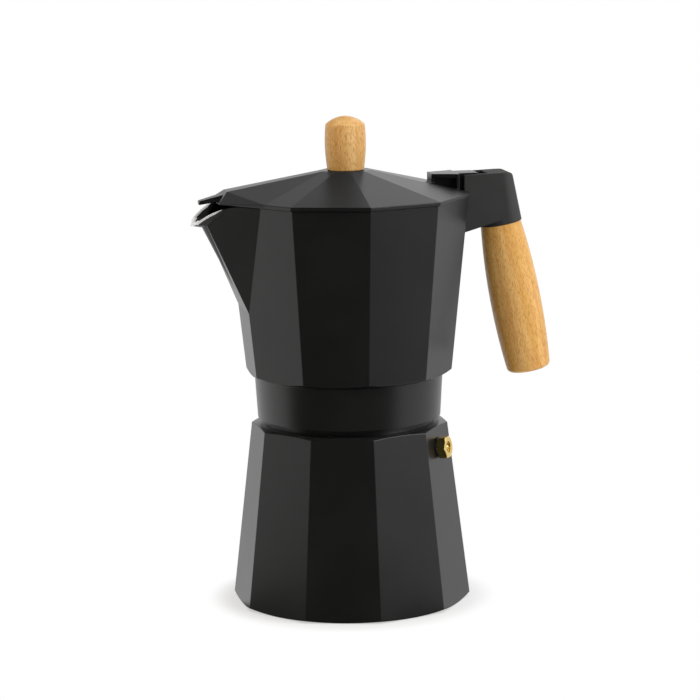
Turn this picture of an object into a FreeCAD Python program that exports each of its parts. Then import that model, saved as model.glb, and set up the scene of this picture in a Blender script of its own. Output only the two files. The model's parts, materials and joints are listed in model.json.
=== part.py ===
"""Stove-top moka pot with ten-sided metal bodies, wooden grip and knob, lid hinge and safety valve.

Millimetres. +Z is up, the pot stands on z = 0 with its axis on Z, the spout points to -X and the
handle to +X. Each piece is one solid in parts/NODE.step.
"""
import FreeCAD, Part

import math
import os

V = FreeCAD.Vector
UP = V(0, 0, 1)
ACROSS = V(0, 1, 0)

# Shared form
facet_count = 10
fit_gap = 0.05
seat_gap = 0.3

# Boiler and its neck
boiler_side_height = 78.8
boiler_flare = 9.5
boiler_turn = 2.8
boiler_wall = 3.0
boiler_floor = 3.5
base_trim_inset = 0.5
base_trim_slope = 0.45
base_inner_rounding = 2.0
shoulder_rise = 0.8
shoulder_ledge = 1.2
shoulder_inset = 0.3
neck_bore_radius = 33.0
neck_wall = 3.2
neck_rise = 16.4

# Screw thread between boiler and collector
thread_pitch = 4.0
thread_height = 1.3
thread_root_width = 1.9
thread_crest_width = 0.9
thread_clearance = 0.4
thread_start = 5.9
neck_thread_turns = 2.1
skirt_thread_turns = 1.6
thread_sink = 0.4

# Funnel and its sieve
funnel_clearance = 0.4
funnel_wall = 1.0
funnel_rim_width = 2.6
basket_depth = 24.0
funnel_cone_drop = 11.0
stem_radius = 5.0
stem_floor_gap = 7.0
sieve_thickness = 0.8
sieve_hole_radius = 0.8
sieve_hole_rings = 4

# Gasket and filter plate
seal_play = 0.1
gasket_thickness = 3.2
gasket_bore_radius = 27.0
gasket_inset = 1.3
plate_thickness = 0.8
plate_rim_inset = 2.0
plate_hole_radius = 0.6
plate_hole_rings = 5

# Collector
skirt_wall = 2.6
skirt_draft = 1.1
skirt_gap = 2.9
foot_overhang = 3.1
foot_rise = 2.0
collector_side_height = 76.0
collector_flare = 8.0
collector_wall = 2.6
collector_floor = 4.2
dome_radius = 25.0
dome_rise = 1.6
column_drop = 19.8
column_foot_radius = 10.0
column_top_radius = 6.6
column_bore_radius = 4.5

# Cap on the riser column
cap_rise = 10.0
cap_roof = 2.4
cap_wall = 1.1
cap_plug_depth = 7.0
window_width = 4.0
window_height = 4.5

# Spout
spout_drop = 47.5
spout_reach = 18.2
spout_nose_radius = 8.0
spout_nose_start = 5.0
spout_nose_start_radius = 0.4
spout_nose_start_inset = 0.2
spout_nose_easing = 0.4
spout_root_half_width = 28.5
spout_wall = 2.0
lip_dip = 9.9
lip_middle_dip = 3.9
lip_middle_inset = 6.9
lip_start_inset = 20.0
lip_roll_start_dip = 2.4
lip_roll_start_inset = 12.6
lip_roll_reach = 4.3
lip_roll_rise = 0.7
lip_roll_depth = 0.9

# Lid
lid_gap = 0.25
lid_overhang = 1.2
lid_rim_height = 1.6
lid_rise = 10.3
lid_wall = 1.9
crown_radius = 11.0
crown_boss_radius = 6.0
crown_boss_depth = 4.0
roof_root_half_width = 32.0
roof_end_reach = 5.6
roof_end_half_width = 12.5
roof_end_dip = 1.2
roof_ridge_half_width = 4.6
roof_ridge_rise = 3.0
roof_ridge_inset = 4.5
tongue_reach = 12.95
tongue_root_half_width = 4.2
tongue_root_thickness = 3.0
tongue_step = 0.7
tongue_tip_half_width = 2.2
tongue_tip_thickness = 1.6
tongue_tip_rise = 0.55

# Lid hinge
hinge_inset = 5.8
hinge_rise = 5.4
knuckle_radius = 4.0
knuckle_half_width = 5.5
hinge_pin_radius = 1.5
hinge_cheek_gap = 0.7
hinge_pin_near_wall = 1.0
lug_length = 19.6
lug_underside = 3.2
lug_tip_half_width = 4.6
lug_rear_half_width = 8.7
lug_rear_gap = 2.1
lug_plate_thickness = 1.8
lug_web_half_width = 3.0
lug_wall = 1.3
notch_depth = 2.8
notch_clearance = 0.7
slot_rear_gap = 1.5

# Knob with its fastening
knob_height = 23.65
knob_foot_radius = 8.0
knob_belly_radius = 9.0
knob_shoulder_radius = 8.6
knob_belly_height = 12.4
knob_dome_rise = 3.6
knob_edge_rounding = 0.6
knob_screw_radius = 1.7
knob_screw_grip = 12.0
knob_screw_head_radius = 3.4
knob_screw_head_height = 1.9
knob_washer_radius = 4.4
knob_washer_thickness = 0.8
drive_slot_width = 0.9
drive_slot_depth = 0.9

# Handle bracket and grip
handle_reach = 18.4
handle_drop = 13.7
handle_tilt = 10.9
bracket_joint_radius = 9.15
bracket_top_radius = 8.3
bracket_joint_rounding = 7.5
bracket_top_rounding = 4.0
bracket_top_fall = 0.7
bracket_rear_rounding = 3.0
bracket_arm_lift = 0.8
bracket_arm_slope = 5.0
bracket_lug_half_width = 4.0
bracket_lug_reach = 7.0
bracket_lug_height = 11.0
bracket_lug_drop = 1.5
bracket_pin_radius = 2.0
bracket_pin_near_wall = 1.5
grip_length = 67.5
grip_top_radius = 8.95
grip_belly_radius = 11.2
grip_end_radius = 9.6
grip_belly_place = 33.0
grip_end_rounding = 2.0
grip_bolt_radius = 2.5
grip_bolt_bite = 12.0
grip_bolt_head_radius = 4.2
grip_bolt_head_height = 3.2
grip_recess_depth = 8.0
grip_washer_thickness = 0.8
bolt_socket_radius = 1.9
bolt_socket_depth = 1.8

# Safety valve
valve_drop = 8.8
valve_hex_width = 9.0
valve_hex_height = 3.8
valve_hex_chamfer = 0.7
valve_shank_radius = 3.0
valve_shank_past_wall = 2.5
valve_gasket_thickness = 0.8
valve_gasket_radius = 4.3
valve_chamber_radius = 2.2
valve_mouth_radius = 2.5
valve_mouth_depth = 0.8
valve_lip_thickness = 1.0
valve_pin_radius = 0.9
valve_pin_clearance = 0.1
valve_seat_thickness = 1.3
valve_seat_bore_radius = 1.2
valve_head_radius = 1.9
valve_head_thickness = 1.0
valve_pin_recess = 0.2
spring_wire_radius = 0.45
spring_wire_sides = 8
spring_coils = 3
spring_end_gap = 0.05

# Levels and radii that follow from the sizes above
half_facet = math.pi / facet_count
flat_share = math.cos(half_facet)
shoulder_top = boiler_side_height + shoulder_rise
valve_height = boiler_side_height - valve_drop
neck_top = shoulder_top + neck_rise
neck_radius = neck_bore_radius + neck_wall
skirt_bore = neck_radius + thread_height + thread_clearance
skirt_radius = skirt_bore + skirt_wall
skirt_top_radius = skirt_radius + skirt_draft
skirt_bottom = shoulder_top + skirt_gap
shoulder_radius = skirt_radius - shoulder_inset
boiler_top_corner = (shoulder_radius + shoulder_ledge) / flat_share
boiler_base_corner = boiler_top_corner + boiler_flare
rim_top = neck_top + funnel_wall
gasket_bottom = rim_top + seal_play
gasket_top = gasket_bottom + gasket_thickness
plate_top = gasket_top + plate_thickness
seal_top = plate_top + seal_play
gasket_radius = skirt_bore - gasket_inset
plate_radius = gasket_radius - plate_rim_inset
foot_top = seal_top + foot_rise
floor_top = seal_top + collector_floor
collector_top = foot_top + collector_side_height
collector_foot_corner = (skirt_radius + foot_overhang) / flat_share
collector_top_corner = collector_foot_corner + collector_flare
column_top = collector_top - column_drop
lid_bottom = collector_top + lid_gap
lid_rim_top = lid_bottom + lid_rim_height
lid_corner = collector_top_corner + lid_overhang
lid_flat = lid_corner * flat_share
crown_top = lid_rim_top + lid_rise
rim_flat = collector_top_corner * flat_share
hinge_x = rim_flat + hinge_inset
hinge_z = collector_top + hinge_rise
bracket_top = hinge_z + knuckle_radius
slot_half_width = knuckle_half_width + hinge_cheek_gap
handle_slant = math.radians(handle_tilt)
grip_down = V(math.sin(handle_slant), 0, -math.cos(handle_slant))
grip_top = V(rim_flat + handle_reach, 0, collector_top - handle_drop)


def boiler_flat(z):
    """Distance from the axis to a boiler facet at height z."""
    share = z / boiler_side_height
    return (boiler_base_corner + share * (boiler_top_corner - boiler_base_corner)) * flat_share


def collector_flat(z):
    """Distance from the axis to a collector facet at height z."""
    share = (z - foot_top) / collector_side_height
    return (collector_foot_corner + share * collector_flare) * flat_share


def ring(corner_radius, z, turn=0.0):
    """Closed ten-sided wire with flats that face the spout and the handle."""
    angles = [half_facet * (2 * k + 1) + math.radians(turn) for k in range(facet_count)]
    points = [V(corner_radius * math.cos(a), corner_radius * math.sin(a), z) for a in angles]
    return Part.makePolygon(points + points[:1])


def facets(low_corner, low_z, high_corner, high_z, turn=0.0):
    """Ten-sided tapered solid."""
    return Part.makeLoft([ring(low_corner, low_z, turn), ring(high_corner, high_z, turn)], True, True)


def turned(points):
    """Solid of revolution about Z from (radius, z) points."""
    outline = Part.makePolygon([V(r, 0, z) for r, z in points + points[:1]])
    return Part.Face(outline).revolve(V(0, 0, 0), UP, 360)


def tube(inner_radius, outer_radius, low_z, high_z):
    """Plain ring about Z."""
    return turned([(inner_radius, low_z), (outer_radius, low_z), (outer_radius, high_z), (inner_radius, high_z)])


def rod(radius, low_z, high_z):
    """Plain cylinder about Z."""
    return Part.makeCylinder(radius, high_z - low_z, V(0, 0, low_z))


def cross_rod(radius, x, z, near_y, far_y):
    """Cylinder along Y."""
    return Part.makeCylinder(radius, far_y - near_y, V(x, near_y, z), ACROSS)


def block(x0, x1, half_width, z0, z1):
    """Box between two x and two z, centred on y = 0."""
    return Part.makeBox(x1 - x0, 2 * half_width, z1 - z0, V(x0, -half_width, z0))


def prism(points, half_width):
    """Side outline of (x, z) points, as thick as twice half_width."""
    outline = Part.makePolygon([V(x, -half_width, z) for x, z in points + points[:1]])
    return Part.Face(outline).extrude(V(0, 2 * half_width, 0))


def far(point):
    """The same point on the other side of the spout and handle plane."""
    return V(point.x, -point.y, point.z)


def mirrored(loops):
    """Loops of points and their far twins."""
    return loops + [[far(p) for p in reversed(loop)] for loop in loops]


def polyhedron(loops):
    """Solid bounded by flat faces."""
    faces = [Part.Face(Part.makePolygon(loop + loop[:1])) for loop in loops]
    return Part.makeSolid(Part.makeShell(faces))


def thread_ridge(radius, height, low_z, turns):
    """Screw ridge that stands off a wall at radius by height, or inwards where height is negative."""
    sink = math.copysign(thread_sink, height)
    outline = [
        V(radius - sink, 0, low_z - thread_root_width / 2),
        V(radius + height, 0, low_z - thread_crest_width / 2),
        V(radius + height, 0, low_z + thread_crest_width / 2),
        V(radius - sink, 0, low_z + thread_root_width / 2),
    ]
    helix = Part.makeHelix(thread_pitch, thread_pitch * turns, radius)
    helix.translate(V(0, 0, low_z))
    return Part.Wire(helix.Edges).makePipeShell([Part.makePolygon(outline + outline[:1])], True, True)


def sieve(radius, low_z, thickness, hole_radius, rings, reach):
    """Round plate with rings of holes out to reach."""
    holes = [rod(hole_radius, low_z - 1, low_z + thickness + 1)]
    for k in range(1, rings + 1):
        for n in range(6 * k):
            angle = math.pi * n / (3 * k)
            hole = holes[0].copy()
            hole.translate(V(math.cos(angle), math.sin(angle), 0) * (reach * k / rings))
            holes.append(hole)
    return rod(radius, low_z, low_z + thickness).cut(Part.makeCompound(holes))


# Safety valve, built along Z with its seat face at zero and set square on a boiler facet

valve_angle = math.radians(boiler_turn) - 2 * half_facet
facet_slant = math.atan2(boiler_flat(0) - boiler_flat(boiler_side_height), boiler_side_height)
valve_out = V(
    math.cos(valve_angle) * math.cos(facet_slant),
    math.sin(valve_angle) * math.cos(facet_slant),
    math.sin(facet_slant),
)
valve_side = V(-math.sin(valve_angle), math.cos(valve_angle), 0)
valve_place = FreeCAD.Placement(
    V(
        boiler_flat(valve_height) * math.cos(valve_angle),
        boiler_flat(valve_height) * math.sin(valve_angle),
        valve_height,
    ),
    FreeCAD.Rotation(valve_side, valve_out.cross(valve_side), valve_out, "ZXY"),
)
valve_top = valve_gasket_thickness + valve_hex_height
valve_inner_end = -boiler_wall - valve_shank_past_wall
lip_top = valve_top - valve_mouth_depth
chamber_top = lip_top - valve_lip_thickness
seat_top = valve_inner_end + valve_seat_thickness
head_top = seat_top + fit_gap + valve_head_thickness


def on_boiler(shape):
    """Moves a valve piece from its own axis to its boiler facet."""
    shape.Placement = valve_place
    return shape


def valve_body():
    corner = valve_hex_width / 2 / math.cos(math.pi / 6)
    hexagon = [V(corner * math.cos(math.pi * k / 3), corner * math.sin(math.pi * k / 3), 0) for k in range(6)]
    head = Part.Face(Part.makePolygon(hexagon + hexagon[:1])).extrude(V(0, 0, valve_hex_height))
    head.translate(V(0, 0, valve_gasket_thickness))
    head = head.common(
        turned([
            (0, valve_gasket_thickness),
            (corner, valve_gasket_thickness),
            (corner, valve_top - valve_hex_chamfer / 2),
            (corner - valve_hex_chamfer, valve_top),
            (0, valve_top),
        ])
    )
    body = head.fuse(rod(valve_shank_radius, valve_inner_end, valve_gasket_thickness))
    body = body.cut(rod(valve_chamber_radius, valve_inner_end, chamber_top))
    body = body.cut(rod(valve_pin_radius + valve_pin_clearance, chamber_top, lip_top))
    return on_boiler(body.cut(rod(valve_mouth_radius, lip_top, valve_top)).removeSplitter())


def valve_gasket():
    return on_boiler(tube(valve_shank_radius + fit_gap, valve_gasket_radius, 0, valve_gasket_thickness))


def valve_seat():
    radius = valve_chamber_radius - fit_gap
    return on_boiler(tube(valve_seat_bore_radius, radius, valve_inner_end, seat_top))


def valve_plunger():
    tip = valve_top - valve_pin_recess
    return on_boiler(
        turned([
            (0, seat_top + fit_gap),
            (valve_head_radius, seat_top + fit_gap),
            (valve_head_radius, head_top),
            (valve_pin_radius, head_top),
            (valve_pin_radius, tip - valve_pin_radius / 2),
            (valve_pin_radius / 2, tip),
            (0, tip),
        ])
    )


def valve_spring():
    radius = (valve_chamber_radius + valve_pin_radius) / 2
    low = head_top + spring_wire_radius + spring_end_gap
    high = chamber_top - spring_wire_radius - spring_end_gap
    helix = Part.makeHelix((high - low) / spring_coils, high - low, radius)
    helix.translate(V(0, 0, low))
    angles = [math.pi * (2 * k + 1) / spring_wire_sides for k in range(spring_wire_sides)]
    section = [V(radius, 0, low) + V(math.cos(a), 0, math.sin(a)) * spring_wire_radius for a in angles]
    wire = Part.makePolygon(section + section[:1])
    return on_boiler(Part.Wire(helix.Edges).makePipeShell([wire], True, True))


# Boiler with its coffee funnel


def boiler():
    body = facets(boiler_base_corner, 0, boiler_top_corner, boiler_side_height, boiler_turn)
    foot_radius = boiler_flat(0) - base_trim_inset
    body = body.common(turned([
        (0, 0),
        (foot_radius, 0),
        (foot_radius + boiler_side_height, boiler_side_height * base_trim_slope),
        (foot_radius + boiler_side_height, boiler_side_height),
        (0, boiler_side_height),
    ]))
    ledge = facets(boiler_top_corner, boiler_side_height, boiler_top_corner, shoulder_top, boiler_turn)
    cone = turned([
        (0, boiler_side_height),
        (boiler_top_corner, boiler_side_height),
        (shoulder_radius, shoulder_top),
        (0, shoulder_top),
    ])
    body = body.fuse([ledge.common(cone), rod(neck_radius, boiler_side_height, neck_top)])
    inside = turned([
        (0, boiler_floor),
        (boiler_flat(boiler_floor) - boiler_wall - base_inner_rounding, boiler_floor),
        (boiler_flat(boiler_floor) - boiler_wall, boiler_floor + base_inner_rounding),
        (boiler_flat(boiler_side_height) - 2 * boiler_wall, boiler_side_height - boiler_wall),
        (neck_bore_radius, shoulder_top),
        (neck_bore_radius, neck_top),
        (0, neck_top),
    ])
    body = body.cut(inside).removeSplitter()
    ridge = thread_ridge(neck_radius, thread_height, shoulder_top + thread_start, neck_thread_turns)
    body = body.fuse(ridge)
    hole = rod(valve_shank_radius + fit_gap, 2 * valve_inner_end, valve_top)
    return body.cut(on_boiler(hole))


def funnel():
    outer = neck_bore_radius - funnel_clearance
    inner = outer - funnel_wall
    bottom = neck_top - basket_depth
    cone_end = bottom - funnel_cone_drop
    stem_end = boiler_floor + stem_floor_gap
    return turned([
        (inner, rim_top),
        (inner, bottom),
        (stem_radius - funnel_wall, cone_end),
        (stem_radius - funnel_wall, stem_end),
        (stem_radius, stem_end),
        (stem_radius, cone_end - funnel_wall / 2),
        (outer, bottom - funnel_wall / 2),
        (outer, neck_top),
        (neck_bore_radius + funnel_rim_width, neck_top),
        (neck_bore_radius + funnel_rim_width, rim_top),
    ])


def funnel_sieve():
    radius = neck_bore_radius - funnel_clearance - funnel_wall - fit_gap
    low = neck_top - basket_depth
    reach = radius - 3 * sieve_hole_radius
    return sieve(radius, low, sieve_thickness, sieve_hole_radius, sieve_hole_rings, reach)


# Seal that lifts with the collector


def gasket():
    return tube(gasket_bore_radius, gasket_radius, gasket_bottom, gasket_top)


def filter_plate():
    reach = gasket_bore_radius - 4 * plate_hole_radius
    return sieve(plate_radius, gasket_top, plate_thickness, plate_hole_radius, plate_hole_rings, reach)


# Collector with its spout

spout_foot = collector_top - spout_drop
spout_back_x = rim_flat / 2
spout_foot_flat = collector_flat(spout_foot)
spout_root_x = (rim_flat - math.sin(2 * half_facet) * spout_root_half_width) / math.cos(2 * half_facet)
spout_root = V(-spout_root_x, -spout_root_half_width, collector_top)
spout_nose_x = rim_flat + spout_reach


def nose_touch():
    """Where a flank's top edge touches the round nose at the level of the rim."""
    away = V(spout_nose_radius - spout_nose_x, 0, collector_top) - spout_root
    turn = math.atan2(away.y, away.x) + math.asin(spout_nose_radius / away.Length)
    reach = math.sqrt(away.Length ** 2 - spout_nose_radius ** 2)
    return spout_root + V(math.cos(turn), math.sin(turn), 0) * reach


spout_touch = nose_touch()
nose_start_z = spout_foot + spout_nose_start
front_slope = (-spout_touch.x - spout_foot_flat) / spout_drop
nose_start_x = spout_foot_flat + front_slope * spout_nose_start - spout_nose_start_inset


def nose_at(z):
    """Distance from the axis to the spout's plain nose at height z."""
    share = (z - nose_start_z) / (collector_top - nose_start_z)
    return nose_start_x + (spout_nose_x - nose_start_x) * share


lip_tip_z = collector_top - lip_dip
lip_tip_x = nose_at(lip_tip_z) + lip_roll_reach
lip_middle = V(lip_middle_inset - lip_tip_x, 0, collector_top - lip_middle_dip)


def nose_ring(z, radius):
    """Level circle whose foremost point is on the nose."""
    return Part.Wire(Part.makeCircle(radius, V(radius - nose_at(z), 0, z)))


def spout_form():
    """Solid beak with flat flanks and a round nose, from a foot flush with the facet up to the rim's level."""
    foot = V(-spout_foot_flat, -spout_foot_flat * math.tan(half_facet), spout_foot)
    foot_back = V(-spout_back_x, foot.y, spout_foot)
    root_back = V(-spout_back_x, spout_root.y, collector_top)
    sides = mirrored([[foot, spout_root, spout_touch], [foot, foot_back, root_back, spout_root]])
    top = [spout_root, root_back, far(root_back), far(spout_root), far(spout_touch), spout_touch]
    rest = [
        [foot, spout_touch, far(spout_touch), far(foot)],
        [foot, far(foot), far(foot_back), foot_back],
        [foot_back, far(foot_back), far(root_back), root_back],
    ]
    nose = Part.makeLoft([
        nose_ring(nose_start_z, spout_nose_start_radius),
        nose_ring(collector_top, spout_nose_radius - spout_nose_easing),
    ], True, True)
    return polyhedron(sides + [top] + rest).fuse(nose).removeSplitter()


def lip_roll(form):
    """Outward lip of the nose: the form's section on a slanted plane, pushed forwards and a little up."""
    low_z = lip_tip_z - lip_roll_depth
    low = V(-nose_at(low_z), 0, low_z)
    along = V(lip_roll_start_inset - lip_tip_x, 0, collector_top - lip_roll_start_dip) - low
    normal = V(-along.z, 0, along.x)
    normal.normalize()
    section = form.slice(normal, normal.dot(low))[0]
    return Part.Face(section).extrude(V(-lip_roll_reach, 0, lip_roll_rise) * 1.2)


def above_lip():
    """Everything over the lip's curve, which falls from the rim to the spout's tip."""
    start = V(lip_start_inset - lip_tip_x, 0, collector_top)
    tip = V(-lip_tip_x, 0, lip_tip_z)
    beyond = tip + (tip - lip_middle)
    over = 2 * lid_rise
    outline = Part.Wire([
        Part.Arc(start, lip_middle, tip).toShape(),
        Part.makeLine(tip, beyond),
        Part.makeLine(beyond, V(beyond.x, 0, collector_top + over)),
        Part.makeLine(V(beyond.x, 0, collector_top + over), V(start.x, 0, collector_top + over)),
        Part.makeLine(V(start.x, 0, collector_top + over), start),
    ])
    outline.translate(V(0, -collector_top_corner, 0))
    return Part.Face(outline).extrude(V(0, 2 * collector_top_corner, 0))


lug_top = collector_top - bracket_lug_drop
lug_bottom = lug_top - bracket_lug_height
lug_end = rim_flat + bracket_lug_reach
bracket_pin_x = rim_flat + bracket_lug_reach / 2
bracket_pin_z = (lug_top + lug_bottom) / 2


def collector():
    foot = facets(collector_foot_corner, seal_top, collector_foot_corner, foot_top)
    foot = foot.common(turned([
        (0, seal_top),
        (skirt_top_radius, seal_top),
        (collector_foot_corner + fit_gap, foot_top),
        (0, foot_top),
    ]))
    body = facets(collector_foot_corner, foot_top, collector_top_corner, collector_top)
    inner_low = collector_foot_corner + collector_flare * (floor_top - foot_top) / collector_side_height
    wall = collector_wall / flat_share
    inside = facets(inner_low - wall, floor_top, collector_top_corner - wall, collector_top)
    beak = spout_form()
    hollow = beak.copy()
    hollow.translate(V(spout_wall, 0, 0))
    roll = lip_roll(beak)
    roll_hollow = lip_roll(hollow)
    lug = block(rim_flat - collector_wall, lug_end, bracket_lug_half_width, lug_bottom, lug_top)
    lug = lug.cut(inside)
    skirt = turned([
        (0, skirt_bottom),
        (skirt_radius, skirt_bottom),
        (skirt_top_radius, seal_top),
        (0, seal_top),
    ])
    column = turned([
        (0, floor_top - fit_gap),
        (column_foot_radius, floor_top - fit_gap),
        (column_top_radius, column_top),
        (0, column_top),
    ])
    shell = body.fuse([foot, skirt, beak, roll]).removeSplitter()
    shell = shell.cut([inside, hollow, roll_hollow]).cut(above_lip())
    shell = shell.fuse([column, lug])
    shell = shell.cut(rod(skirt_bore, skirt_bottom, gasket_top))
    shell = shell.cut(rod(gasket_radius + seat_gap, gasket_top, seal_top))
    shell = shell.cut(rod(dome_radius, seal_top, seal_top + dome_rise))
    shell = shell.cut(rod(column_bore_radius, seal_top, column_top))
    pin = cross_rod(bracket_pin_radius + fit_gap, bracket_pin_x, bracket_pin_z, -lug_end, lug_end)
    shell = shell.cut(pin).removeSplitter()
    low = shoulder_top + thread_start + thread_pitch / 2
    return shell.fuse(thread_ridge(skirt_bore, -thread_height, low, skirt_thread_turns))


def column_cap():
    top = column_top + cap_rise
    bore = column_bore_radius - fit_gap - cap_wall
    cap = turned([
        (bore, column_top - cap_plug_depth),
        (column_bore_radius - fit_gap, column_top - cap_plug_depth),
        (column_bore_radius - fit_gap, column_top),
        (column_top_radius, column_top),
        (column_top_radius, top - cap_roof),
        (column_top_radius / 2, top),
        (0, top),
        (0, top - cap_roof),
        (bore, top - cap_roof),
    ])
    low = top - cap_roof - window_height
    window = Part.makeBox(window_width, 2 * crown_radius, window_height, V(-window_width / 2, -crown_radius, low))
    return cap.cut(window)


# Lid with its spout cover and hinge lug


roof_root_x = (lid_flat - math.sin(2 * half_facet) * roof_root_half_width) / math.cos(2 * half_facet)
roof_end_x = lid_flat + roof_end_reach
roof_crown = V(-crown_radius * flat_share, -crown_radius * math.sin(half_facet), crown_top)
roof_root = V(-roof_root_x, -roof_root_half_width, lid_rim_top)
roof_end = V(-roof_end_x, -roof_end_half_width, lid_rim_top - roof_end_dip)
roof_ridge = V(roof_ridge_inset - roof_end_x, -roof_ridge_half_width, lid_rim_top + roof_ridge_rise)


def lid_foot(point):
    """The point below or above at the level of the lid's lower edge."""
    return V(point.x, point.y, lid_bottom)


def roof_plan():
    """Upright prism over all that the spout cover covers."""
    corners = [lid_foot(p) for p in (roof_crown, roof_root, roof_end)]
    corners += [far(p) for p in reversed(corners)]
    return Part.Face(Part.makePolygon(corners + corners[:1])).extrude(V(0, 0, crown_top))


def roof_form():
    """Ridged cover that runs from the crown out over the spout."""
    crown, root, end, ridge = roof_crown, roof_root, roof_end, roof_ridge
    keel, root_foot, end_foot = lid_foot(crown), lid_foot(root), lid_foot(end)
    sides = mirrored([
        [crown, root, ridge],
        [ridge, root, end],
        [root, root_foot, end_foot, end],
        [crown, keel, root_foot, root],
        [keel, end_foot, root_foot],
    ])
    middle = [
        [crown, ridge, far(ridge), far(crown)],
        [ridge, end, far(end), far(ridge)],
        [end, end_foot, far(end_foot), far(end)],
        [keel, far(keel), far(end_foot), end_foot],
        [crown, far(crown), far(keel), keel],
    ]
    return polyhedron(sides + middle)


def upright(x, half_width, low_z, high_z):
    """Closed upright rectangle square to X."""
    corners = [V(x, -half_width, low_z), V(x, -half_width, high_z)]
    corners += [far(p) for p in reversed(corners)]
    return Part.makePolygon(corners + corners[:1])


def tongue():
    """Narrow beak of the lid over the spout's mouth."""
    root_z = lid_rim_top + roof_ridge_rise - tongue_step
    root = upright(-lid_flat, tongue_root_half_width, root_z - tongue_root_thickness, root_z)
    tip_x = -lid_flat - tongue_reach
    tip_z = lid_bottom + tongue_tip_rise
    tip = upright(tip_x, tongue_tip_half_width, tip_z - tongue_tip_thickness, tip_z)
    return Part.makeLoft([root, tip], True, True)


notch_x = rim_flat - notch_depth


def hinge_lug():
    """Plate over the lid that widens towards the hinge, on a web and two walls, and the neck of the knuckle."""
    start_x = hinge_x - lug_length
    rear_x = rim_flat - lug_rear_gap
    low = hinge_z - lug_underside
    corners = [V(start_x, -lug_tip_half_width, bracket_top), V(rear_x, -lug_rear_half_width, bracket_top)]
    corners += [far(p) for p in reversed(corners)]
    plate = Part.Face(Part.makePolygon(corners + corners[:1])).extrude(V(0, 0, -lug_plate_thickness))
    nose = block(start_x, start_x + lug_wall, lug_tip_half_width, low, bracket_top)
    web = block(start_x, notch_x, lug_web_half_width, low, bracket_top)
    rear = block(rear_x - lug_wall, rear_x, lug_rear_half_width, low, bracket_top)
    neck = block(notch_x, hinge_x, knuckle_half_width, low, bracket_top)
    knuckle = cross_rod(knuckle_radius, hinge_x, hinge_z, -knuckle_half_width, knuckle_half_width)
    return plate.fuse([nose, web, rear, neck, knuckle])


def lid():
    rim = facets(lid_corner, lid_bottom, lid_corner, lid_rim_top)
    crown = facets(lid_corner, lid_rim_top, crown_radius, crown_top)
    roof = roof_form()
    wall = lid_wall / flat_share
    under = facets(lid_corner - wall, lid_bottom, lid_corner - wall, lid_rim_top)
    under = under.fuse(facets(lid_corner, lid_rim_top, crown_radius, crown_top))
    under.translate(V(0, 0, -lid_wall))
    under = under.common(facets(lid_corner - wall, 0, lid_corner - wall, crown_top))
    roof_under = roof.copy()
    roof_under.translate(V(lid_wall, 0, -lid_wall))
    shell = rim.fuse(crown).cut(roof_plan()).fuse(roof).removeSplitter()
    shell = shell.cut(under).cut(roof_under)
    shell = shell.fuse(tongue())
    notch = block(notch_x, 2 * rim_flat, bracket_joint_radius + notch_clearance, lid_bottom - 1, crown_top)
    shell = shell.cut(notch)
    boss = rod(crown_boss_radius, crown_top - crown_boss_depth, crown_top - lid_wall / 2)
    shell = shell.fuse([hinge_lug().cut(under), boss])
    pin = cross_rod(hinge_pin_radius + fit_gap, hinge_x, hinge_z, -lug_end, lug_end)
    return shell.cut([pin, rod(knob_screw_radius + fit_gap, lid_bottom, crown_top)]).removeSplitter()


# Knob and its screw


def knob_profile(radius, z):
    return V(radius, 0, crown_top + z)


def lid_knob():
    edge_z = knob_height - knob_dome_rise
    foot = knob_profile(knob_foot_radius, 0)
    belly = knob_profile(knob_belly_radius, knob_belly_height)
    shoulder = knob_profile(knob_shoulder_radius, edge_z)
    top = knob_profile(0, knob_height)
    dome_middle = knob_profile(knob_shoulder_radius / 2, knob_height - knob_dome_rise / 4)
    outline = Part.Wire([
        Part.makeLine(knob_profile(0, 0), foot),
        Part.Arc(foot, belly, shoulder).toShape(),
        Part.Arc(shoulder, dome_middle, top).toShape(),
        Part.makeLine(top, knob_profile(0, 0)),
    ])
    knob = Part.Face(outline).revolve(V(0, 0, 0), UP, 360)
    round_edges = [e for e in knob.Edges if e.BoundBox.ZLength < fit_gap and e.Closed]
    knob = knob.makeFillet(knob_edge_rounding, round_edges)
    return knob.cut(rod(knob_screw_radius + fit_gap, crown_top, crown_top + knob_screw_grip + 1))


def knob_washer():
    high = crown_top - crown_boss_depth
    return tube(knob_screw_radius + fit_gap, knob_washer_radius, high - knob_washer_thickness, high)


def slotted_head(low, height, radius):
    """Low round screw head with a straight drive slot in its lower face."""
    slot = Part.makeBox(2 * radius, drive_slot_width, drive_slot_depth, V(-radius, -drive_slot_width / 2, low))
    return turned([
        (0, low),
        (radius - drive_slot_depth / 2, low),
        (radius, low + drive_slot_depth),
        (radius, low + height),
        (0, low + height),
    ]).cut(slot)


def knob_screw():
    high = crown_top - crown_boss_depth - knob_washer_thickness
    low = high - knob_screw_head_height
    return slotted_head(low, knob_screw_head_height, knob_screw_head_radius).fuse(
        rod(knob_screw_radius, high, crown_top + knob_screw_grip)
    )


# Handle: bracket, grip and their fastenings

grip_place = FreeCAD.Placement(grip_top, FreeCAD.Rotation(ACROSS, 180 - handle_tilt))


def on_handle(shape):
    """Moves a piece built downwards along its own +Z to the grip's slanted axis."""
    shape.Placement = grip_place
    return shape


def bracket_section(depth, half_width, rounding):
    """Wire across the bracket: straight sides and a back with round corners, at a depth along the grip's axis."""
    inner = half_width - rounding
    ease = half_width - rounding * (1 - math.sqrt(0.5))
    front = V(2 * handle_reach, -half_width, depth)
    side = V(-inner, -half_width, depth)
    middle = V(-ease, -ease, depth)
    back = V(-half_width, -inner, depth)
    return Part.Wire([
        Part.makeLine(front, side),
        Part.Arc(side, middle, back).toShape(),
        Part.makeLine(back, far(back)),
        Part.Arc(far(back), far(middle), far(side)).toShape(),
        Part.makeLine(far(side), far(front)),
        Part.makeLine(far(front), front),
    ])


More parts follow.
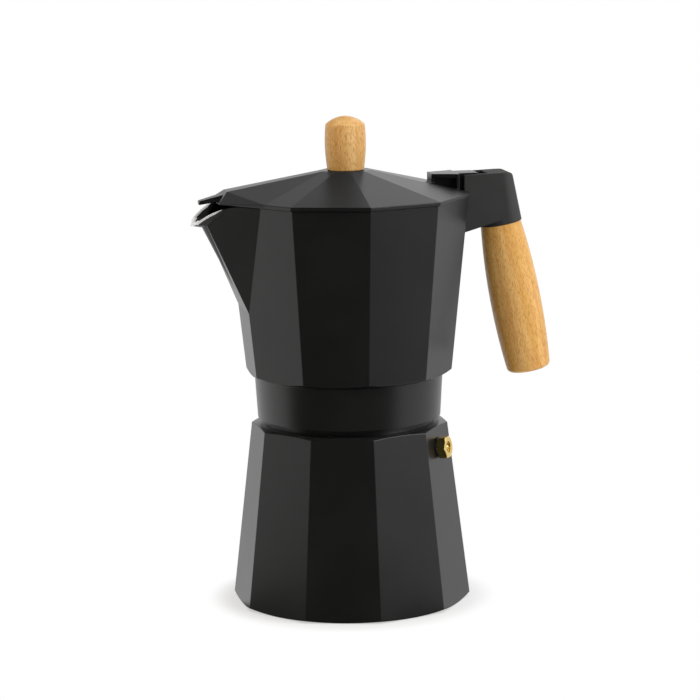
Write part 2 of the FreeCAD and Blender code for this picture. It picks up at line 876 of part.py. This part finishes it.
bracket_rise = bracket_top - grip_top.z + handle_drop
bracket_back_low = grip_place.multVec(V(-bracket_joint_radius, 0, 0))
bracket_back_high = grip_place.multVec(V(-bracket_top_radius, 0, -bracket_rise))


def bracket_back(z):
    """Point of the bracket's back line at height z."""
    share = (z - bracket_back_low.z) / (bracket_back_high.z - bracket_back_low.z)
    return bracket_back_low + (bracket_back_high - bracket_back_low) * share


def above_bracket():
    """Everything over the bracket's top, which rises a little to a rounded corner at the back."""
    corner = bracket_back(bracket_top)
    front = V(rim_flat, 0, bracket_top - bracket_top_fall)
    forwards = front - corner
    forwards.normalize()
    down = bracket_back_low - corner
    down.normalize()
    half_angle = forwards.getAngle(down) / 2
    inwards = forwards + down
    inwards.normalize()
    start = corner + forwards * bracket_rear_rounding
    middle = corner + inwards * (bracket_rear_rounding * (1 / math.cos(half_angle) - math.tan(half_angle)))
    end = corner + down * bracket_rear_rounding
    outside = end + V(handle_reach, 0, 0)
    over = V(outside.x, 0, 2 * bracket_top)
    front = start + forwards * corner.x
    outline = Part.Wire([
        Part.makeLine(front, start),
        Part.Arc(start, middle, end).toShape(),
        Part.makeLine(end, outside),
        Part.makeLine(outside, over),
        Part.makeLine(over, V(front.x, 0, over.z)),
        Part.makeLine(V(front.x, 0, over.z), front),
    ])
    outline.translate(V(0, -rim_flat, 0))
    return Part.Face(outline).extrude(V(0, 2 * rim_flat, 0))


def handle_bracket():
    form = on_handle(Part.makeLoft([
        bracket_section(0, bracket_joint_radius, bracket_joint_rounding),
        bracket_section(-bracket_rise, bracket_top_radius, bracket_top_rounding),
    ], True, True))
    front = prism([
        (0, 0),
        (collector_flat(0) + fit_gap, 0),
        (rim_flat + fit_gap, collector_top),
        (rim_flat + fit_gap, 2 * bracket_top),
        (0, 2 * bracket_top),
    ], rim_flat)
    arm_foot = grip_top.z + bracket_arm_lift - handle_reach * math.tan(handle_slant)
    arm_rise = handle_reach * math.tan(handle_slant + math.radians(bracket_arm_slope))
    under_arm = prism([
        (rim_flat, 0),
        (grip_top.x, 0),
        (grip_top.x, arm_foot + arm_rise),
        (rim_flat, arm_foot),
    ], rim_flat)
    collar = on_handle(rod(bracket_joint_radius, -2 * bracket_joint_radius, bracket_joint_radius))
    form = form.cut([front, above_bracket(), under_arm.cut(collar)])
    pocket = block(
        0, lug_end + fit_gap, bracket_lug_half_width + fit_gap, lug_bottom - fit_gap, lug_top + fit_gap
    )
    slot_end = hinge_x + knuckle_radius + slot_rear_gap
    slot_floor = hinge_z - knuckle_radius - hinge_cheek_gap
    slot = block(0, slot_end, slot_half_width, slot_floor, 2 * bracket_top)
    hinge_near = bracket_near_wall(hinge_pin_near_wall)
    hinge_hole = cross_rod(hinge_pin_radius + fit_gap, hinge_x, hinge_z, hinge_near, rim_flat)
    pin_near = bracket_near_wall(bracket_pin_near_wall)
    pin_hole = cross_rod(bracket_pin_radius + fit_gap, bracket_pin_x, bracket_pin_z, pin_near, rim_flat)
    bolt_hole = on_handle(rod(grip_bolt_radius + fit_gap, -grip_bolt_bite - 1, 1))
    return form.cut([pocket, slot, hinge_hole, pin_hole, bolt_hole]).removeSplitter()


def bracket_near_wall(thickness):
    """Y of a blind hole's end behind the bracket's near side."""
    return thickness - bracket_top_radius


def bracket_pin():
    near = bracket_near_wall(bracket_pin_near_wall) + fit_gap
    return cross_rod(bracket_pin_radius, bracket_pin_x, bracket_pin_z, near, bracket_top_radius)


def hinge_pin():
    near = bracket_near_wall(hinge_pin_near_wall) + fit_gap
    return cross_rod(hinge_pin_radius, hinge_x, hinge_z, near, bracket_top_radius)


def grip():
    top = V(grip_top_radius, 0, 0)
    belly = V(grip_belly_radius, 0, grip_belly_place)
    end = V(grip_end_radius, 0, grip_length)
    outline = Part.Wire([
        Part.makeLine(V(0, 0, 0), top),
        Part.Arc(top, belly, end).toShape(),
        Part.makeLine(end, V(0, 0, grip_length)),
        Part.makeLine(V(0, 0, grip_length), V(0, 0, 0)),
    ])
    form = Part.Face(outline).revolve(V(0, 0, 0), UP, 360)
    end_edges = [e for e in form.Edges if e.Closed and e.BoundBox.ZMin > grip_length - fit_gap]
    form = form.makeFillet(grip_end_rounding, end_edges)
    form = form.cut(rod(grip_bolt_radius + fit_gap, 0, grip_length))
    recess_radius = grip_bolt_head_radius + seat_gap
    return on_handle(form.cut(rod(recess_radius, grip_length - grip_recess_depth, grip_length)))


def grip_washer():
    high = grip_length - grip_recess_depth
    return on_handle(
        tube(grip_bolt_radius + fit_gap, grip_bolt_head_radius, high, high + grip_washer_thickness)
    )


def grip_bolt():
    head_low = grip_length - grip_recess_depth + grip_washer_thickness
    head_end = head_low + grip_bolt_head_height
    corners = [V(bolt_socket_radius * math.cos(math.pi * k / 3), bolt_socket_radius * math.sin(math.pi * k / 3),
                 head_end - bolt_socket_depth) for k in range(6)]
    socket = Part.Face(Part.makePolygon(corners + corners[:1])).extrude(V(0, 0, 2 * bolt_socket_depth))
    bolt = rod(grip_bolt_head_radius, head_low, head_end).fuse(rod(grip_bolt_radius, -grip_bolt_bite, head_low))
    return on_handle(bolt.cut(socket).removeSplitter())


pieces = {
    "boiler": boiler,
    "valve_body": valve_body,
    "valve_gasket": valve_gasket,
    "valve_plunger": valve_plunger,
    "valve_spring": valve_spring,
    "valve_seat": valve_seat,
    "funnel": funnel,
    "funnel_sieve": funnel_sieve,
    "gasket": gasket,
    "filter_plate": filter_plate,
    "collector": collector,
    "column_cap": column_cap,
    "handle_bracket": handle_bracket,
    "bracket_pin": bracket_pin,
    "hinge_pin": hinge_pin,
    "grip": grip,
    "grip_washer": grip_washer,
    "grip_bolt": grip_bolt,
    "lid": lid,
    "lid_knob": lid_knob,
    "knob_washer": knob_washer,
    "knob_screw": knob_screw,
}

os.makedirs("parts", exist_ok=True)
for name, make in pieces.items():
    shape = make()
    shape.exportStep("parts/" + name + ".step")
    print(name, len(shape.Solids), shape.isValid(), round(shape.Volume, 1))
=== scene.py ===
# %% [markdown]
# The pot arrives as a imported CAD model, and everything here is hung on that frame: the metal bodies, the
# wooden grip and knob and the small brass valve keep the places that the CAD gave them. They could be
# modelled once more as meshes, but then they would have to be fitted; this way little more than finishes
# and light is added. The whole box is kept straight after loading.

# %% Load the pot
import json
import math

import bmesh
import bpy
from mathutils import Matrix, Vector


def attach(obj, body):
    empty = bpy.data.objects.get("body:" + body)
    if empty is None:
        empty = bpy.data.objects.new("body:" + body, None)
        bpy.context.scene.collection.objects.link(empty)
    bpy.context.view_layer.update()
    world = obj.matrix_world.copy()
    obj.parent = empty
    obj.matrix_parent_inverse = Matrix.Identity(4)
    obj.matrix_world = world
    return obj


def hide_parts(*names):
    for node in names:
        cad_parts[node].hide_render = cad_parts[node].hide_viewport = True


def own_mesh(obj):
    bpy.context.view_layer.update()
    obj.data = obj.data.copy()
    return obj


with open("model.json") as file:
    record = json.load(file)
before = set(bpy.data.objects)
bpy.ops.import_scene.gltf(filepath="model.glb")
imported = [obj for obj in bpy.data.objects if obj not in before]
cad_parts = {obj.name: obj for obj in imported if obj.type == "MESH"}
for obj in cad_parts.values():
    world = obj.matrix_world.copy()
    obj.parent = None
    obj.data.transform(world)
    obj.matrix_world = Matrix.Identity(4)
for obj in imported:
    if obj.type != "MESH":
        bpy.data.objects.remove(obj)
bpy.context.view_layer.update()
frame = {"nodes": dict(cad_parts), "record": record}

pieces = frame["nodes"]

# %% [markdown]
# A catalogue picture like this one is taken from far away with a long lens, so upright edges stay nearly
# parallel. The camera could be placed by hand in the viewport; here two angles and a distance say the
# same in numbers that can be read again. It stands a little to the spout's side and looks slightly down.
# A small roll and a small sideways shift put the pot where it stands in its frame.

# %% Camera
camera_turn = math.radians(-10.83)
camera_elevation = math.radians(9.957)
camera_roll = math.radians(-0.83)
camera_distance = 1.2526
aim = Vector((0.0, 0.0, 0.11118))


def looking(place, towards):
    """Place of a camera or lamp that looks along its own -Z at a point."""
    turned = (towards - place).to_track_quat("-Z", "Y")
    return Matrix.Translation(place) @ turned.to_matrix().to_4x4()


lens = bpy.data.cameras.new("catalogue_lens")
lens.lens = 145.54
lens.sensor_width = 36.0
lens.shift_x = 0.00244
camera = bpy.data.objects.new("catalogue_camera", lens)
bpy.context.collection.objects.link(camera)
outward, upward = math.cos(camera_elevation), math.sin(camera_elevation)
back = Vector((math.sin(camera_turn) * outward, -math.cos(camera_turn) * outward, upward))
rolled = Matrix.Rotation(camera_roll, 4, "Z")
camera.matrix_world = looking(aim + back * camera_distance, aim) @ rolled
bpy.context.scene.camera = camera
bpy.context.scene.view_settings.view_transform = "Standard"
print("camera at", [round(c, 3) for c in camera.location])

# %% [markdown]
# Shader graphs are usually wired by hand in the Shader Editor. In a script they are easier to read as
# sums than as boxes and wires, so this small class wraps one socket of a node tree: adding or multiplying
# two of them lays a Math node, and `node` lays any other kind.


# %% Sums of sockets
class Wire:
    """One output of a shader graph, used in a sum as a number would be."""

    def __init__(self, tree, socket=None):
        self.tree = tree
        self.socket = socket

    def node(self, kind, settings=None, sockets=None, out=0):
        """Lays a node: its settings first, then the values or wires of its sockets. Gives one output."""
        made = self.tree.nodes.new(kind)
        for name, value in (settings or {}).items():
            setattr(made, name, value)
        for name, value in (sockets or {}).items():
            if isinstance(value, Wire):
                self.tree.links.new(value.socket, made.inputs[name])
            else:
                made.inputs[name].default_value = value
        return Wire(self.tree, made.outputs[out] if made.outputs else None)

    def math_node(self, operation, *values):
        """Lays a Math node on one or two values."""
        return self.node("ShaderNodeMath", {"operation": operation}, dict(enumerate(values)))

    def __add__(self, other):
        return self.math_node("ADD", self, other)

    def __sub__(self, other):
        return self.math_node("SUBTRACT", self, other)

    def __rsub__(self, other):
        return self.math_node("SUBTRACT", other, self)

    def __mul__(self, other):
        return self.math_node("MULTIPLY", self, other)

    def __truediv__(self, other):
        return self.math_node("DIVIDE", self, other)

    def __lt__(self, other):
        return self.math_node("LESS_THAN", self, other)

    def __gt__(self, other):
        return self.math_node("GREATER_THAN", self, other)

    __radd__ = __add__
    __rmul__ = __mul__

    def root(self):
        """Square root."""
        return self.math_node("SQRT", self)

    def size(self):
        """The value without its sign."""
        return self.math_node("ABSOLUTE", self)

    def most(self, other):
        """The larger of two values."""
        return self.math_node("MAXIMUM", self, other)

    def axes(self):
        """The three numbers of a vector."""
        return [self.node("ShaderNodeSeparateXYZ", {}, {0: self}, out=axis) for axis in range(3)]

    def noise(self, scale, detail=2.0, z_scale=None):
        """Soft noise from 0 to 1, read at this vector; a z_scale below 1 draws its waves out along Z."""
        place = self
        if z_scale is not None:
            scales = {0: self, 1: (1.0, 1.0, z_scale)}
            place = self.node("ShaderNodeVectorMath", {"operation": "MULTIPLY"}, scales)
        return self.node("ShaderNodeTexNoise", {}, {"Vector": place, "Scale": scale, "Detail": detail})

    def between(self, low, high, start=0.0, end=1.0):
        """Eases from start to end as this value goes from low to high."""
        return self.node(
            "ShaderNodeMapRange",
            {"interpolation_type": "SMOOTHSTEP"},
            {"Value": self, "From Min": low, "From Max": high, "To Min": start, "To Max": end},
        )

    def tint(self, under, over):
        """Mixes two colours with this value as the share of the second."""
        # A Mix node's sockets share their names: by number, 0 is the share, 6 and 7 are the colours.
        sockets = {0: self, 6: opaque(under), 7: opaque(over)}
        return self.node("ShaderNodeMix", {"data_type": "RGBA"}, sockets, out=2)

    def bump(self, depth, strength, normal=None):
        """A normal that follows this value as a relief of the given depth in metres."""
        sockets = {"Height": self, "Distance": depth, "Strength": strength}
        if normal is not None:
            sockets["Normal"] = normal
        return self.node("ShaderNodeBump", {}, sockets)


def opaque(colour):
    """Three numbers of a colour with full alpha; a wire stays as it is."""
    return colour if isinstance(colour, Wire) else (*colour, 1.0)


# %% [markdown]
# Every finish begins alike, with a material, its Principled BSDF and a place to read patterns at. A UV
# map is the usual place, but CAD meshes have none. Object coordinates need no unwrapping and move with
# the piece, and as they are in metres, a noise of scale 1000 has waves of about a millimetre.


# %% Beginning a finish and putting it on
def new_finish(name):
    """A material with its principled shader, and a wire that reads the piece's own coordinates."""
    finish = bpy.data.materials.new(name)
    finish.use_nodes = True
    shader = finish.node_tree.nodes["Principled BSDF"]
    here = Wire(finish.node_tree).node("ShaderNodeTexCoord", out="Object")
    return finish, shader, here


def feed(shader, **values):
    """Sets or links the shader's sockets, named in words joined by underscores."""
    for words, value in values.items():
        socket = shader.inputs[words.replace("_", " ")]
        if isinstance(value, Wire):
            value.tree.links.new(value.socket, socket)
        else:
            socket.default_value = value


def soft_edges(here, radius):
    """A normal that turns gently over the edges, as light does on a worn or coated edge."""
    return here.node("ShaderNodeBevel", {"samples": 6}, {"Radius": radius})


def dress(finish, *names):
    """Puts one finish on CAD pieces."""
    for name in names:
        pieces[name].data.materials.clear()
        pieces[name].data.materials.append(finish)
    print(finish.name, "on", ", ".join(names))


# %% [markdown]
# The bodies are cast aluminium under a satin black coating that was sprayed and baked. It could be one
# flat black, but a baked coating has a faint orange peel, slightly uneven gloss and edges where the light
# turns gently. So the gloss varies with two noises, a very fine relief breaks the reflections, and the
# Bevel node softens the light along the edges between the facets.

# %% Satin black coating
coated_edge = 0.0006
peel_depth = 0.000012
satin_black, satin_roughness = 0.0065, 0.31
bracket_black, bracket_roughness = 0.018, 0.62
bare_and_highlight_dark, bare_and_highlight_light = (0.84, 0.84, 0.85), (0.93, 0.93, 0.94)
bare_metallic, bare_roughness = 0.35, 0.24


def coating(name, bare=None, tone=satin_black, roughness=satin_roughness):
    """Black coating; where the bare mask is 1 the satin aluminium below it shows, which on the collector's
    lip is also a painted highlight.
    """
    finish, shader, here = new_finish(name)
    cloud = here.noise(scale=38.0, detail=3.0)
    peel = here.noise(scale=1500.0)
    grain = here.noise(scale=5200.0, detail=1.0)
    colour = cloud.between(0.3, 0.7).tint([tone * 0.85] * 3, [tone * 1.2] * 3)
    rough = roughness + (cloud - 0.5) * 0.05 + (peel - 0.5) * 0.06
    relief = peel * 0.7 + grain * 0.3
    metallic = 0.0
    if bare is not None:
        mask = bare(here)
        lathe = here.noise(scale=900.0, z_scale=4.0)
        # The pale bare-metal tone; on the collector's lip it is also a painted highlight.
        colour = mask.tint(colour, lathe.between(0.25, 0.75).tint(bare_and_highlight_dark, bare_and_highlight_light))
        rough = rough * (1.0 - mask) + mask * (bare_roughness + lathe * 0.12)
        metallic = mask * bare_metallic
        relief = relief * (1.0 - mask)
    feed(
        shader,
        Base_Color=colour,
        Roughness=rough,
        Metallic=metallic,
        Normal=relief.bump(peel_depth, strength=0.35, normal=soft_edges(here, coated_edge)),
    )
    return finish


dress(coating("lid_coating"), "lid")
dress(coating("bracket_coating", tone=bracket_black, roughness=bracket_roughness), "handle_bracket")

# %% [markdown]
# The lip of the spout was cut after coating, so its edge is bare metal. The bright line on it, widest at
# the nose and tapering away towards the body, is partly that bare metal and partly a painted highlight,
# where light catches the rolled lip. A second material on the cut's own faces would end sharply at their
# edges, while the bare metal reaches a little way down the walls. The cut is a cylinder across the pot,
# so the distance from that cylinder marks it: three points of the lip, seen from the side, give the
# cylinder's circle. The bore of the threaded skirt is bare as well.

# %% Bare lip and skirt, with the lip's painted highlight
lip_back, lip_middle, lip_nose = (-0.048815, 0.1792), (-0.061915, 0.1753), (-0.068815, 0.1693)
# The width and fade of the lip's bright line are a painted highlight: widest at the nose, gone before the
# body.
highlight_half_width, soft_border = 0.0008, 0.0002
highlight_fade_start, highlight_fade_end = -0.0605, -0.0565
skirt_bore, skirt_ceiling = 0.0393, 0.1014


def circle_through(first, second, third):
    """Centre (x, z) and radius of the circle through three points."""
    (ax, az), (bx, bz), (cx, cz) = first, second, third
    d = 2 * (ax * (bz - cz) + bx * (cz - az) + cx * (az - bz))
    a, b, c = ax * ax + az * az, bx * bx + bz * bz, cx * cx + cz * cz
    x = (a * (bz - cz) + b * (cz - az) + c * (az - bz)) / d
    z = (a * (cx - bx) + b * (ax - cx) + c * (bx - ax)) / d
    return x, z, math.hypot(ax - x, az - z)


def distance_of(first, second):
    """Length of the line from zero to a point on a plane, such as its distance from the pot's axis."""
    return (first * first + second * second).root()


lip_x, lip_z, lip_radius = circle_through(lip_back, lip_middle, lip_nose)
print("lip circle:", round(lip_x, 5), round(lip_z, 5), round(lip_radius, 5))


def bare_skirt_and_lip_highlight(here):
    """Mask of the bore in the collector's skirt and of its bare lip, whose tapering bright line is also a
    painted highlight.
    """
    x, y, z = here.axes()
    off_cut = (distance_of(x - lip_x, z - lip_z) - lip_radius).size()
    # Painted highlight on the bare lip: its width falls from the nose to nothing towards the body.
    half_width = x.between(highlight_fade_start, highlight_fade_end, highlight_half_width, 0.0)
    lip = (half_width - off_cut).between(0.0, soft_border)
    skirt = (distance_of(x, y) < skirt_bore) * (z < skirt_ceiling)
    return lip + skirt


dress(coating("collector_coating", bare_skirt_and_lip_highlight), "collector")

# %% [markdown]
# The boiler is bare inside and on its threaded neck, where it was turned. Its faces could be picked one
# by one, but a CAD mesh is thousands of loose triangles. So they are found by their height and their
# distance from the pot's axis: the chamber narrows upwards, and the neck's bore is straight.

# %% Bare boiler
chamber_foot_radius, chamber_taper = 0.0489, 0.1147
chamber_floor, chamber_ceiling = 0.002, 0.0765
neck_bore, neck_foot = 0.0349, 0.0823


def bare_boiler(here):
    """Mask of the boiler's chamber, the bore of its neck and the thread."""
    x, y, z = here.axes()
    radius = distance_of(x, y)
    height = (z > chamber_floor) * (z < chamber_ceiling)
    chamber = (radius < chamber_foot_radius - chamber_taper * z) * height
    bore = (radius < neck_bore) * (z > chamber_ceiling)
    return chamber.most(bore).most(z > neck_foot)


dress(coating("boiler_coating", bare_boiler), "boiler")

# %% [markdown]
# Grip and knob are beech under a thin clear varnish: a warm tan wood with broad soft bands and many short
# dark flecks along the grain. A picture would be the usual way; here stretched noises make the bands, and
# a much finer stretched noise, kept only above its middle, leaves the flecks. The grip leans, so its
# pattern is turned to run along its own axis. The black coating would mirror the wood as orange patches,
# where the real pot shows only faint grey ones. So the wood is grey to a ray that comes from a reflection,
# and the grip isn't mirrored.

# %% Beech
fibre_brown, streak_red, fleck_brown = (0.55, 0.285, 0.070), (0.56, 0.215, 0.060), (0.38, 0.155, 0.026)
mirrored_grey = (0.22, 0.22, 0.22)
varnish_roughness = 0.42
sway_width = 0.003
pore_depth = 0.00003


def beech(name, lean, shift, redness, pale, tan):
    """Varnished beech: the lean of its grain in degrees, a shift of the pattern, red streaks, two tones."""
    finish, shader, here = new_finish(name)
    turned = (0.0, math.radians(lean), 0.0)
    along = here.node("ShaderNodeMapping", {}, {"Vector": here, "Location": shift, "Rotation": turned})
    sway = (along.noise(scale=150.0, z_scale=0.6) - 0.5) * sway_width
    sideways = sway.node("ShaderNodeCombineXYZ", {}, {"X": sway, "Y": sway})
    grain = along.node("ShaderNodeVectorMath", {"operation": "ADD"}, {0: along, 1: sideways})
    bands = grain.noise(scale=230.0, detail=3.0, z_scale=0.07)
    streaks = grain.noise(scale=420.0, z_scale=0.05).between(0.52, 0.70)
    fibres = grain.noise(scale=2600.0, z_scale=0.06)
    flecks = grain.noise(scale=2700.0, detail=1.5, z_scale=0.17).between(0.50, 0.64)
    colour = bands.between(0.32, 0.68).tint(pale, tan)
    colour = (fibres.between(0.35, 0.75) * 0.3).tint(colour, fibre_brown)
    colour = (streaks * redness).tint(colour, streak_red)
    colour = (flecks * 0.5).tint(colour, fleck_brown)
    mirrored = here.node("ShaderNodeLightPath", out="Is Glossy Ray")
    relief = fibres * 0.5 + (1.0 - flecks) * 0.5
    feed(
        shader,
        Base_Color=mirrored.tint(colour, mirrored_grey),
        Roughness=varnish_roughness + (fibres - 0.5) * 0.12 + flecks * 0.1,
        Specular_IOR_Level=0.2,
        Coat_Weight=0.2,
        Coat_Roughness=0.12,
        Normal=relief.bump(pore_depth, strength=0.4),
    )
    return finish


grip_lean, knob_lean = 10.9, 0.0
grip_shift, knob_shift = (0.013, 0.007, 0.02), (0.004, 0.011, 0.031)
grip_redness, knob_redness = 0.3, 0.4
grip_pale, grip_tan = (0.75, 0.445, 0.155), (0.64, 0.335, 0.082)
knob_pale, knob_tan = (0.80, 0.495, 0.205), (0.70, 0.395, 0.125)
dress(beech("grip_beech", grip_lean, grip_shift, grip_redness, grip_pale, grip_tan), "grip")
dress(beech("knob_beech", knob_lean, knob_shift, knob_redness, knob_pale, knob_tan), "lid_knob")
pieces["grip"].visible_glossy = False

# %% [markdown]
# The safety valve is turned and milled brass, the screws, pins and washers are steel, and the funnel,
# sieve, filter plate and column cap are spun aluminium. A metal shows mostly what stands around it, so
# each could be a plain metallic colour. Fine turning marks and a little dullness in patches, as from
# steam and heat, keep them from looking new and perfect, and one function serves all three.

# %% Brass and the other small metals
turned_edge = 0.00025
mark_depth = 0.00001
brass_dark, brass_light = (0.84, 0.56, 0.13), (0.98, 0.77, 0.31)
steel_dark, steel_light = (0.44, 0.44, 0.45), (0.66, 0.66, 0.67)
spun_dark, spun_light = (0.66, 0.66, 0.67), (0.84, 0.84, 0.85)


def metal(name, dark, light, rough, scale, z_scale=None):
    """Bare metal between two tones, with marks of the given scale and dull patches."""
    finish, shader, here = new_finish(name)
    marks = here.noise(scale, detail=3.0, z_scale=z_scale)
    patch = here.noise(scale=240.0)
    feed(
        shader,
        Base_Color=(marks * 0.6 + patch * 0.4).between(0.3, 0.7).tint(dark, light),
        Metallic=1.0,
        Roughness=rough + (marks - 0.5) * 0.12 + (patch - 0.5) * 0.1,
        Normal=marks.bump(mark_depth, strength=0.3, normal=soft_edges(here, turned_edge)),
    )
    return finish


valve_brass = metal("valve_brass", brass_dark, brass_light, rough=0.28, scale=1400.0)
dress(valve_brass, "valve_body", "valve_plunger", "valve_seat")
screw_steel = metal("screw_steel", steel_dark, steel_light, rough=0.30, scale=1800.0)
dress(screw_steel, "bracket_pin", "hinge_pin", "grip_washer", "grip_bolt", "knob_washer", "knob_screw")
spun_aluminium = metal("spun_aluminium", spun_dark, spun_light, rough=0.34, scale=700.0, z_scale=6.0)
dress(spun_aluminium, "funnel", "funnel_sieve", "filter_plate", "column_cap")

# %% [markdown]
# Inside the valve a small spring presses the plunger shut. The CAD spring keeps its length, so the
# plunger would run into its coils on the way out. A shape key with a driver could shorten it; here a
# merged copy stands for it, and the share of its length that it would keep with the plunger fully out
# is worked out from the valve's travel.

# %% Valve spring
merge_distance = 0.000001
travel = next(joint for joint in frame["record"]["behaviour"]["joints"] if joint["name"] == "valve_travel")
outwards = Vector(travel["axis"]).normalized()
coils = bmesh.new()
coils.from_mesh(pieces["valve_spring"].data)
bmesh.ops.remove_doubles(coils, verts=coils.verts, dist=merge_distance)
for face in coils.faces:
    face.smooth = True
along = [corner.co.dot(outwards) for corner in coils.verts]
spring_length = max(along) - min(along)
shortest = 1.0 - travel["range_m"][1] / spring_length

closing_spring = bpy.data.objects.new("closing_spring", bpy.data.meshes.new("closing_spring"))
coils.to_mesh(closing_spring.data)
coils.free()
bpy.context.collection.objects.link(closing_spring)
closing_spring.data.materials.append(screw_steel)
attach(closing_spring, "boiler")
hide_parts("valve_spring")
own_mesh(closing_spring)
print("valve spring:", round(spring_length, 5), "m, pressed to", round(shortest, 3))

# %% [markdown]
# The seal between the two halves is pale food-grade rubber, and the valve's own washer is black. A plain
# colour would look like plastic: rubber has almost no gloss and a dusty, slightly uneven surface, so one
# noise drives its tone, its roughness and a shallow relief together.

# %% Rubber
dust_depth = 0.00003
rubber_roughness = 0.66
seal_dark, seal_light = (0.60, 0.58, 0.53), (0.74, 0.72, 0.68)
washer_dark, washer_light = (0.012, 0.012, 0.012), (0.03, 0.03, 0.03)


def rubber(name, dark, light):
    """Dusty rubber between two tones."""
    finish, shader, here = new_finish(name)
    dust = here.noise(scale=420.0, detail=4.0)
    feed(
        shader,
        Base_Color=dust.between(0.3, 0.7).tint(dark, light),
        Roughness=rubber_roughness + (dust - 0.5) * 0.2,
        Normal=dust.bump(dust_depth, strength=0.3),
    )
    return finish


dress(rubber("seal_rubber", seal_dark, seal_light), "gasket")
dress(rubber("valve_rubber", washer_dark, washer_light), "valve_gasket")

# %% [markdown]
# A black pot shows mostly what stands around it. In the studio there is a broad white screen behind the
# pot that reaches round to the left, and further round on the right, and a dim room on the camera's side.
# Sheets of geometry could stand there, but they would get into the other views. So one sum says how
# bright the studio is in a level direction, and the floor and the sky both use it.

# %% Where the studio is bright
screen_bearing = math.radians(70.0)
screen_middle = Vector((math.cos(screen_bearing), math.sin(screen_bearing)))
screen_ends = (-0.53, -0.27)  # cosines of the angle from its middle
room_light, screen_white = 0.07, 0.87
dimmer_right = 0.12
white = (1.0, 1.0, 1.0)


def screen_light(x, y):
    """Brightness of the studio in the level direction (x, y), seen from the pot."""
    distance = distance_of(x, y) + 0.0001  # never zero, because it divides
    facing = (x * screen_middle.x + y * screen_middle.y) / distance
    to_right = x / distance
    return facing.between(*screen_ends, room_light, screen_white) * (1.0 - to_right * dimmer_right)


def new_stage_finish(block):
    """An empty graph for the floor or the sky: its start, the rays that look straight and mirrored rays."""
    block.use_nodes = True
    block.node_tree.nodes.clear()
    start = Wire(block.node_tree)
    kinds = ("Is Camera Ray", "Is Transmission Ray", "Is Glossy Ray")
    seen, passed, mirrored = [start.node("ShaderNodeLightPath", out=kind) for kind in kinds]
    return start, seen + passed, mirrored


print("screen behind the pot, its middle at", [round(c, 3) for c in screen_middle])

# %% [markdown]
# The pot stands on a pale floor. A plain diffuse floor would turn grey away from the lamps and show its
# edge. So to the camera the floor is plain white, with ordinary diffuse white mixed in close to the pot,
# where its contact shadow lands. To reflections it is as bright as the studio above it.

# %% Floor
floor_side, floor_height = 8.0, -0.0002
floor_white = (0.9, 0.9, 0.9)
shadow_start, shadow_end = 0.053, 0.066
shadow_glow = 0.5
bpy.ops.mesh.primitive_plane_add(size=floor_side, location=(0.0, 0.0, floor_height))
floor = bpy.context.object
floor.name = "studio_floor"
floor_finish = bpy.data.materials.new("studio_floor_white")
start, straight, mirrored = new_stage_finish(floor_finish)
x, y = start.node("ShaderNodeTexCoord", out="Object").axes()[:2]
paint = start.node("ShaderNodeBsdfDiffuse", {}, {"Color": opaque(floor_white)})
strength = straight + mirrored * screen_light(x, y)
glow = start.node("ShaderNodeEmission", {}, {"Color": opaque(white), "Strength": strength})
share = straight * distance_of(x, y).between(shadow_start, shadow_end, shadow_glow, 1.0) + mirrored
mixed = start.node("ShaderNodeMixShader", {}, {0: share, 1: paint, 2: glow})
start.node("ShaderNodeOutputMaterial", {}, {"Surface": mixed})
floor.data.materials.append(floor_finish)
print("floor:", floor.name)

# %% [markdown]
# The sky holds the screen. Its top edge stands about thirty degrees above level, lower on the left than
# on the right, and it sags on the spout's side. That is why the facets of the lid differ so much. An
# environment picture could hold all this; a sum of the direction's numbers is sharper and can be changed.

# %% Sky
edge_start, edge_end = 0.45, 0.56
edge_slope, edge_sag = 0.35, 0.23
sag_left, sag_right = (-0.60, -0.25), (0.04, 0.26)
above_screen = 0.25
screen_gain = 1.2
room_fill = 0.42
studio = bpy.data.worlds.new("white_studio")
bpy.context.scene.world = studio
start, straight, mirrored = new_stage_finish(studio)
x, y, z = start.node("ShaderNodeTexCoord", out="Generated").axes()
sag = x.between(*sag_left) * x.between(*sag_right, 1.0, 0.0)
screen_top = (z - x * edge_slope + sag * edge_sag).between(edge_start, edge_end, 1.0, above_screen)
reflected = mirrored * screen_light(x, y) * screen_top * screen_gain
strength = straight + (1.0 - straight) * (reflected + (1.0 - mirrored) * room_fill)
sky = start.node("ShaderNodeBackground", {}, {"Color": opaque(white), "Strength": strength})
start.node("ShaderNodeOutputWorld", {}, {"Surface": sky})
print("sky:", studio.name)

# %% [markdown]
# Soft lamps light the wood, as the sky alone would leave it flat. A lamp in a reflection makes a hard
# white patch that such a studio hasn't got, so only the key lamp on the right is mirrored. The lamp on
# the left is warm, because the shaded side of the wood is warmer than its lit side.

# %% Lamps
pot_middle = Vector((0.0, 0.0, 0.1))
warm_white = (1.0, 0.86, 0.62)


def soft_lamp(name, place, size, watts, mirrored=False, colour=white):
    """A square lamp aimed at the pot, which isn't mirrored in it unless asked."""
    lamp = bpy.data.lights.new(name, "AREA")
    lamp.shape = "SQUARE"
    lamp.size = size
    lamp.energy = watts
    lamp.color = colour
    holder = bpy.data.objects.new(name, lamp)
    bpy.context.collection.objects.link(holder)
    holder.matrix_world = looking(Vector(place), pot_middle)
    holder.visible_glossy = mirrored
    print(name, watts, "W")


soft_lamp("key_right", (1.1, -0.7, 0.9), size=0.9, watts=14.0, mirrored=True)
soft_lamp("fill_left", (-1.2, -0.5, 0.6), size=0.9, watts=5.0, colour=warm_white)
soft_lamp("front_soft", (0.35, -1.2, 0.7), size=0.9, watts=2.5)
soft_lamp("top_soft", (0.0, 0.3, 1.5), size=1.2, watts=6.5)
